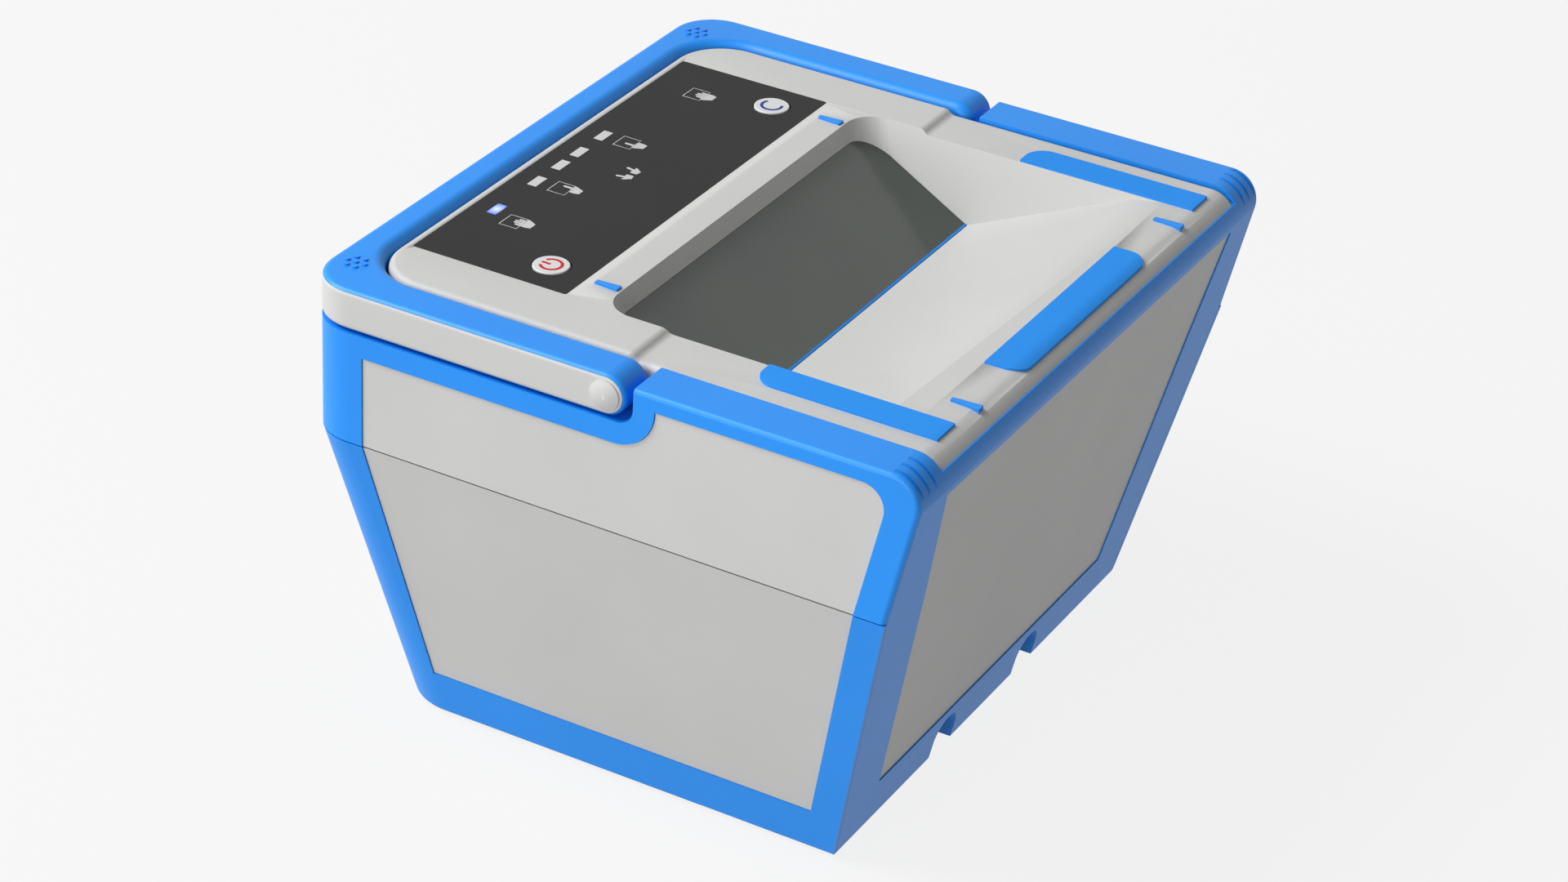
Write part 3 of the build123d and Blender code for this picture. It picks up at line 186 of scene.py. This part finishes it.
# ABS, injection moulded against a spark-eroded tool: an even satin with a fine sandy grain
blue_abs = moulded("blue_abs_spark_textured", "178AE8", "1484E2", 0.45, 0.6, 0.25, IOR=1.52, **SATIN)
# the same ABS in light grey, a little duller
grey_abs = moulded("light_grey_abs_satin", "C0C0BF", "BBBBBA", 0.5, 0.5, 0.3, IOR=1.52, **SATIN)
# cover in PC-ABS with a leather-like etched grain of about 0.9 mm, drawn as coarse as it needs to show
cover_abs = moulded("light_grey_pc_abs_etched", "C2C2C0", "BDBDBB", 0.48, 0.9, 0.7, IOR=1.54, **SATIN)
# soft-touch thermoplastic elastomer: matte, swallows highlights
blue_tpe = moulded("blue_tpe_soft_touch", "1C8CE8", "1987E2", 0.7, 0.4, 0.2, IOR=1.5, **SATIN)
rubber = moulded("black_silicone_rubber", "1C1C1C", "161616", 0.8, 0.4, 0.3, IOR=1.45)
dark_nylon = moulded("black_glass_filled_nylon", "26262A", "1E1E22", 0.6, 0.5, 0.4, IOR=1.53)
# screen-printed polycarbonate film with a velvet-lacquered face
overlay_film = moulded("black_polycarbonate_film", "1F1F20", "1C1C1D", 0.6, 0.25, 0.2, IOR=1.58, **VELVET)
white_ink = moulded("white_screen_ink", "C4C4C4", "BEBEBE", 0.6, 0.3, 0.15, IOR=1.5, **VELVET)
red_ink = moulded("red_screen_ink", "C22F30", "BB2A2C", 0.55, 0.3, 0.15, IOR=1.5, **VELVET)
blue_ink = moulded("blue_screen_ink", "33418C", "2E3B82", 0.55, 0.3, 0.15, IOR=1.5, **VELVET)
# key caps in moulded white ABS, finer than the casing
key_abs = moulded("white_abs_key_cap", "CFD0D1", "CACBCC", 0.38, 0.3, 0.12, IOR=1.52, **SATIN)
# unlit light guides in opal acrylic
opal_acrylic = moulded("opal_acrylic_light_guide", "C6C6C6", "C0C0C0", 0.35, 0.5, 0.1, IOR=1.49, **SATIN)
led_resin = moulded("clear_led_resin", "F2F0D8", "E8E6CC", 0.2, 0.3, 0.05, IOR=1.5)
# glass-fibre laminate under green solder resist
board_resist = moulded("green_solder_resist", "14563A", "0F4A31", 0.35, 0.8, 0.2, IOR=1.52)

# bead-blasted and clear-anodised aluminium, zinc-plated steel, turned brass
blasted_aluminium = moulded("blasted_aluminium", "C3C4C6", "B8B9BC", 0.4, 0.3, 0.3, Metallic=1.0)
zinc_steel = moulded("zinc_plated_steel", "B9BABC", "A9ABAE", 0.32, 0.4, 0.2, Metallic=1.0)
turned_brass = moulded("turned_brass", "D2A95C", "C39A4E", 0.28, 0.4, 0.15, Metallic=1.0)
silvered_glass = moulded("silvered_glass", "EDEDED", "E6E6E6", 0.08, 0.8, 0.02, Metallic=1.0)

# float glass with a dark optical coating on its back: reads as a deep green-grey with a clean gloss
coated_glass = moulded("coated_platen_glass", "464D47", "3D433F", 0.14, 1.5, 0.02, IOR=1.52)
clear_glass = moulded("polished_optical_glass", "C9D6CF", "C2D0C8", 0.08, 2.0, 0.01, IOR=1.52)

# the lit light guide: white over its lamp, falling off to blue-violet at its edges
lit_guide, tree, surface, place = new_material("lit_acrylic_light_guide", IOR=1.49, Roughness=0.35)
surface.inputs["Base Color"].default_value = linear("26386E")
surface.inputs["Emission Strength"].default_value = 1.0
low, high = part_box("status_window_left_hand")
centre = (low + high) / 2
reach_x, reach_y = (reach * MM for reach in lamp_reach)
around = add_node(
    tree,
    "ShaderNodeMapping",
    {"vector_type": "POINT", "Location": (-centre.x / reach_x, -centre.y / reach_y, 0.0)},
    {"Vector": place},
)
around.inputs["Scale"].default_value = (1 / reach_x, 1 / reach_y, 0.0)
spot = add_node(tree, "ShaderNodeTexGradient", {"gradient_type": "SPHERICAL"}, {"Vector": around.outputs[0]})
glow = add_node(tree, "ShaderNodeValToRGB", None, {"Fac": spot.outputs["Fac"]})
glow.color_ramp.elements[0].position = 0.15
glow.color_ramp.elements[0].color = linear("4F78EC")
glow.color_ramp.elements[1].position = 0.95
glow.color_ramp.elements[1].color = linear("DCE8FF")
tree.links.new(glow.outputs["Color"], surface.inputs["Emission Color"])

slot_material = {
    "blue_plastic": blue_abs,
    "white_plastic": grey_abs,
    "blue_pad": blue_tpe,
    "black_rubber": rubber,
    "dark_plastic": dark_nylon,
    "overlay_film": overlay_film,
    "button_white": key_abs,
    "light_guide": opal_acrylic,
    "led_white": led_resin,
    "circuit_board": board_resist,
    "optical_glass": clear_glass,
    "diffuser_plastic": opal_acrylic,
    "mirror_glass": silvered_glass,
    "aluminium": blasted_aluminium,
    "steel": zinc_steel,
    "brass": turned_brass,
}
node_material = {
    "top_cover": cover_abs,
    "platen_glass": coated_glass,
    "status_window_left_hand": lit_guide,
}
node_slot = {part["node"]: part["material_slot"] for part in frame["record"]["subparts"]}


def dress(piece, finish):
    """Gives a piece its one material."""
    piece.data.materials.clear()
    piece.data.materials.append(finish)


for name, node in frame["nodes"].items():
    dress(node, node_material.get(name, slot_material[node_slot[name]]))


# --- pieces --------------------------------------------------------------------------------
def new_piece(name, mesh, body):
    """Links a finished mesh as a piece that rides on a body."""
    piece = bpy.data.objects.new(name, mesh)
    bpy.context.scene.collection.objects.link(piece)
    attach(piece, body)
    return piece


def merged_copy(node_name):
    """bmesh copy of a CAD node with its loose triangles joined and its flat faces made whole."""
    work = bmesh.new()
    work.from_mesh(frame["nodes"][node_name].data)
    bmesh.ops.remove_doubles(work, verts=work.verts, dist=0.002 * MM)
    bmesh.ops.dissolve_limit(work, angle_limit=math.radians(0.6), verts=work.verts, edges=work.edges)
    return work


def finished_mesh(work, name, finish, smooth=30.0):
    """Mesh from a bmesh, with its material and its creases kept sharp."""
    mesh = bpy.data.meshes.new(name)
    work.to_mesh(mesh)
    work.free()
    mesh.materials.append(finish)
    mesh.shade_smooth()
    mesh.set_sharp_from_angle(angle=math.radians(smooth))
    return mesh


def round_edges(work, chosen, radius, steps):
    """Rounds the chosen edges of a bmesh."""
    bmesh.ops.bevel(
        work,
        geom=chosen,
        offset=radius * MM,
        offset_type="OFFSET",
        segments=steps,
        profile=0.5,
        affect="EDGES",
        clamp_overlap=True,
    )


def plain_mesh(host):
    """Plain mesh of an object with its modifiers applied; the object itself is removed."""
    bpy.context.scene.collection.objects.link(host)
    bpy.context.view_layer.update()
    mesh = bpy.data.meshes.new_from_object(host.evaluated_get(bpy.context.evaluated_depsgraph_get()))
    bpy.data.objects.remove(host)
    return mesh


# cover: the well's rim is rounded over
cover_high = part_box("top_cover")[1]
work = merged_copy("top_cover")
rim = []
for edge in work.edges:
    if len(edge.link_faces) != 2:
        continue
    middle = (edge.verts[0].co + edge.verts[1].co) / 2
    if middle.z < cover_high.z - rim_deep * MM or abs(middle.x) > (well_half + rim_side) * MM:
        continue
    if not (well_front + rim_front) * MM < middle.y < (well_rear + rim_back) * MM:
        continue
    slopes = sorted(face.normal.z for face in edge.link_faces)
    if slopes[1] > 0.8 and slopes[0] < 0.6:
        rim.append(edge)
round_edges(work, rim, rim_round, rim_steps)
for edge in work.edges:
    edge.smooth = True
bmesh.ops.triangulate(work, faces=[face for face in work.faces if len(face.verts) > 4])
host = bpy.data.objects.new("cover_host", finished_mesh(work, "cover_host", cover_abs, cover_crease))
weighting = host.modifiers.new("face_weighting", "WEIGHTED_NORMAL")
weighting.keep_sharp = True
weighting.mode = "FACE_AREA_WITH_ANGLE"
cover = new_piece("top_cover_moulding", plain_mesh(host), "casing")
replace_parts(cover, "top_cover")


def flat_print(outlines, top, finish, name):
    """Raised ink from closed outlines in millimetres, printed on a surface at height top."""
    work = bmesh.new()
    for outline in outlines:
        corners = [work.verts.new((x * MM, y * MM, top)) for x, y in outline]
        face = work.faces.new(corners)
        work.normal_update()
        if face.normal.z < 0:
            face.normal_flip()
        raised = bmesh.ops.extrude_face_region(work, geom=[face])
        lift = [item for item in raised["geom"] if isinstance(item, bmesh.types.BMVert)]
        bmesh.ops.translate(work, verts=lift, vec=(0, 0, ink_height * MM))
        face.normal_flip()
    bmesh.ops.recalc_face_normals(work, faces=work.faces)
    bmesh.ops.triangulate(work, faces=work.faces)
    return finished_mesh(work, name, finish)


def tip(x, y, half, steps=6):
    """Rounded fingertip, from its left side over to its right side."""
    turns = [math.pi * (1 - step / steps) for step in range(steps + 1)]
    return [(x + half * math.cos(turn), y - half + half * math.sin(turn)) for turn in turns]


def hand_outline(fingers, finger_half, palm_half, knuckle, wrist):
    """Hand seen from above, fingers away from the wrist; fingers are (middle, tip height)."""
    outline = [(-0.7 * palm_half, wrist), (-palm_half, wrist + 1.0), (-1.35 * palm_half, -0.9)]
    outline += [(-1.5 * palm_half, -0.1), (-1.25 * palm_half, 0.25), (-palm_half, -0.35)]
    outline += [(-palm_half, knuckle)]
    for middle, height in fingers:
        outline += [(middle - finger_half, knuckle)] + tip(middle, height, finger_half)
        outline += [(middle + finger_half, knuckle)]
    outline += [(palm_half, knuckle - 0.2), (palm_half, wrist + 1.2), (0.75 * palm_half, wrist)]
    return outline


def placed(outline, x, y, scale, side=1, turn=0.0):
    """Outline moved to its place, mirrored where side is -1 and turned by an angle in degrees."""
    angle = math.radians(turn)
    spots = [(side * scale * a, scale * b) for a, b in outline]
    return [
        (x + a * math.cos(angle) - b * math.sin(angle), y + a * math.sin(angle) + b * math.cos(angle))
        for a, b in spots
    ]


four_fingers = hand_outline([(-1.35, 1.9), (-0.45, 2.6), (0.45, 2.5), (1.35, 1.7)], 0.34, 1.7, 0.5, -3.0)
one_finger = hand_outline([(-0.75, 2.8)], 0.42, 1.45, 0.2, -3.0)
thumb = hand_outline([(-0.3, 2.3)], 0.45, 1.3, -0.2, -2.6)
film_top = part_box("control_overlay")[1].z
hand_y = symbol_y - hand_drop
hand_shapes = ((four_fingers, -1), (one_finger, -1), (one_finger, 1), (four_fingers, 1))
hands = [
    placed(outline, x + shift, hand_y, hand_scale, side)
    for x, shift, (outline, side) in zip(symbol_places, hand_shifts, hand_shapes)
]
for side in (1, -1):
    thumb_x = thumbs_place[0] - side * thumbs_apart
    hands.append(placed(thumb, thumb_x, thumbs_place[1], thumb_scale, side, side * thumb_turn))
new_piece("hand_symbols", flat_print(hands, film_top, white_ink, "hand_symbols"), "casing")


# printed squares: one line drawn round a square, repeated at each place
def tree_with_inputs(name, inputs):
    """Empty geometry tree with a geometry socket each way and the named number inputs."""
    tree = bpy.data.node_groups.new(name, "GeometryNodeTree")
    tree.interface.new_socket("Geometry", in_out="INPUT", socket_type="NodeSocketGeometry")
    for label, value in inputs.items():
        socket = tree.interface.new_socket(label, in_out="INPUT", socket_type="NodeSocketFloat")
        socket.default_value = value
    tree.interface.new_socket("Geometry", in_out="OUTPUT", socket_type="NodeSocketGeometry")
    return tree, add_node(tree, "NodeGroupInput").outputs


def grown_mesh(name, points, tree, values):
    """Runs a geometry tree on bare points, given in metres, and returns the plain mesh."""
    seed = bpy.data.meshes.new(name)
    seed.from_pydata(points, [], [])
    host = bpy.data.objects.new(name, seed)
    growth = host.modifiers.new("growth", "NODES")
    growth.node_group = tree
    for item in tree.interface.items_tree:
        if item.in_out == "INPUT" and item.name in values:
            growth[item.identifier] = values[item.name]
    return plain_mesh(host)


def close_tree(tree, instances, finish):
    """Ends a tree: instances made real, material set, output."""
    real = add_node(tree, "GeometryNodeRealizeInstances", None, {0: instances})
    coated = add_node(tree, "GeometryNodeSetMaterial", {"Material": finish}, {"Geometry": real.outputs[0]})
    add_node(tree, "NodeGroupOutput", None, {0: coated.outputs[0]})


square_sizes = {
    "Wide": symbol_wide * MM,
    "Deep": symbol_deep * MM,
    "Line": frame_line * MM,
    "Ink": ink_height * MM,
}
square_tree, given = tree_with_inputs("printed_squares", square_sizes)
path = add_node(
    square_tree,
    "GeometryNodeCurvePrimitiveQuadrilateral",
    None,
    {"Width": given["Wide"], "Height": given["Deep"]},
)
profile = add_node(
    square_tree,
    "GeometryNodeCurvePrimitiveQuadrilateral",
    None,
    {"Width": given["Line"], "Height": given["Ink"]},
)
line = add_node(
    square_tree,
    "GeometryNodeCurveToMesh",
    None,
    {"Curve": path.outputs[0], "Profile Curve": profile.outputs[0]},
)
spread = add_node(
    square_tree,
    "GeometryNodeInstanceOnPoints",
    None,
    {"Points": given["Geometry"], "Instance": line.outputs[0]},
)
close_tree(square_tree, spread.outputs[0], white_ink)
square_points = [(x * MM, symbol_y * MM, film_top + ink_height * MM / 2) for x in symbol_places]
square_mesh = grown_mesh("printed_squares", square_points, square_tree, square_sizes)
new_piece("printed_squares", square_mesh, "casing")

# base screws: heads with a cross recess, without shanks. The cone starts at its own foot, so the heads
# stand half their height above the CAD screws' heads, and the cut leaves zero-area faces at the
# recess's floor.
screw_sizes = {
    "Head": screw_head * MM,
    "Height": screw_head_height * MM,
    "Recess": screw_recess * MM,
    "Reach": screw_head * screw_recess_reach * MM,
}
screw_tree, given = tree_with_inputs("cross_recess_screws", screw_sizes)
radius = add_node(screw_tree, "ShaderNodeMath", {"operation": "MULTIPLY", 1: 0.5}, {0: given["Head"]})
crown = add_node(screw_tree, "ShaderNodeMath", {"operation": "MULTIPLY", 1: 0.38}, {0: given["Head"]})
head = add_node(
    screw_tree,
    "GeometryNodeMeshCone",
    {"Vertices": 32},
    {"Radius Top": radius.outputs[0], "Radius Bottom": crown.outputs[0], "Depth": given["Height"]},
)
long_way = add_node(
    screw_tree, "ShaderNodeCombineXYZ", None, {0: given["Reach"], 1: given["Recess"], 2: given["Height"]}
)
cross_way = add_node(
    screw_tree, "ShaderNodeCombineXYZ", None, {0: given["Recess"], 1: given["Reach"], 2: given["Height"]}
)
slot_one = add_node(screw_tree, "GeometryNodeMeshCube", None, {"Size": long_way.outputs[0]})
slot_two = add_node(screw_tree, "GeometryNodeMeshCube", None, {"Size": cross_way.outputs[0]})
cross = add_node(screw_tree, "GeometryNodeMeshBoolean", {"operation": "UNION"}, {1: slot_one.outputs[0]})
screw_tree.links.new(slot_two.outputs[0], cross.inputs[1])
recess = add_node(
    screw_tree,
    "GeometryNodeMeshBoolean",
    {"operation": "DIFFERENCE"},
    {0: head.outputs[0], 1: cross.outputs[0]},
)
spread = add_node(
    screw_tree,
    "GeometryNodeInstanceOnPoints",
    None,
    {"Points": given["Geometry"], "Instance": recess.outputs[0]},
)
close_tree(screw_tree, spread.outputs[0], zinc_steel)
screw_low, screw_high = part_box("base_screws")
screw_x = screw_high.x - screw_head * MM / 2
screw_y = screw_high.y - screw_head * MM / 2
head_z = screw_low.z + screw_head_height * MM / 2
screw_points = [(sx * screw_x, sy * screw_y, head_z) for sx in (-1, 1) for sy in (-1, 1)]
screw_mesh = grown_mesh("base_screw_heads", screw_points, screw_tree, screw_sizes)
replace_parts(new_piece("base_screw_heads", screw_mesh, "casing"), "base_screws")


def arc_band(x, y, radius, width, start, end, steps=40):
    """Outline of part of a ring, with angles in degrees."""
    turns = [math.radians(start + (end - start) * step / steps) for step in range(steps + 1)]
    outer = [(x + (radius + width / 2) * math.cos(t), y + (radius + width / 2) * math.sin(t)) for t in turns]
    inner = [(x + (radius - width / 2) * math.cos(t), y + (radius - width / 2) * math.sin(t)) for t in turns]
    return outer + inner[::-1]


def key_place(node):
    """Middle of a key's top, x and y in millimetres and its height in metres."""
    low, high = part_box(node)
    return (low.x + high.x) / 2 / MM, (low.y + high.y) / 2 / MM, high.z


x, y, top = key_place("power_button")
half = ring_line / 2
bar_low = y + power_bar_start
bar_high = y + ring_radius
bar = [(x - half, bar_low), (x + half, bar_low), (x + half, bar_high), (x - half, bar_high)]
power_sign = [arc_band(x, y, ring_radius, ring_line, *power_arc), bar]
new_piece("power_sign", flat_print(power_sign, top, red_ink, "power_sign"), "power_key")
x, y, top = key_place("rescan_button")
rescan_sign = [arc_band(x, y, ring_radius, ring_line, *rescan_arc)]
new_piece("rescan_sign", flat_print(rescan_sign, top, blue_ink, "rescan_sign"), "rescan_key")


# --- floor, lights and background ------------------------------------------------------------
floor_mesh = bpy.data.meshes.new("studio_floor")
floor_corners = [(sx * floor_size, sy * floor_size, 0) for sx, sy in ((-1, -1), (1, -1), (1, 1), (-1, 1))]
floor_mesh.from_pydata(floor_corners, [], [(0, 1, 2, 3)])
studio_floor = bpy.data.objects.new("studio_floor", floor_mesh)
bpy.context.scene.collection.objects.link(studio_floor)
floor_paper, tree, surface, place = new_material("pale_backdrop_paper", Roughness=0.9)
surface.inputs["Base Color"].default_value = linear("4A4A4A")
surface.inputs["Specular IOR Level"].default_value = 0.0
soft = add_node(tree, "ShaderNodeLightPath").outputs["Is Diffuse Ray"]
glow = add_node(
    tree,
    "ShaderNodeMath",
    {"operation": "MULTIPLY_ADD", 1: floor_bounce - floor_glow, 2: floor_glow},
    {0: soft},
)
surface.inputs["Emission Color"].default_value = linear("FFFFFF")
tree.links.new(glow.outputs[0], surface.inputs["Emission Strength"])
dress(studio_floor, floor_paper)

world = bpy.data.worlds.new("studio_air")
bpy.context.scene.world = world
world.use_nodes = True
air = world.node_tree
background = air.nodes["Background"]
background.inputs["Color"].default_value = linear("FFFFFF")
soft = add_node(air, "ShaderNodeLightPath").outputs["Is Diffuse Ray"]
level = add_node(
    air,
    "ShaderNodeMath",
    {"operation": "MULTIPLY_ADD", 1: air_light - air_shown, 2: air_shown},
    {0: soft},
)
air.links.new(level.outputs[0], background.inputs["Strength"])


def soft_box(name, place, size, power):
    """Square studio light that faces the object."""
    lamp = bpy.data.lights.new(name, "AREA")
    lamp.size = size
    lamp.energy = power
    holder = bpy.data.objects.new(name, lamp)
    holder.location = place
    holder.rotation_euler = (Vector(light_target) - Vector(place)).to_track_quat("-Z", "Y").to_euler()
    bpy.context.scene.collection.objects.link(holder)


soft_box("key_light", *key_place_and_power)
soft_box("side_light", *side_place_and_power)
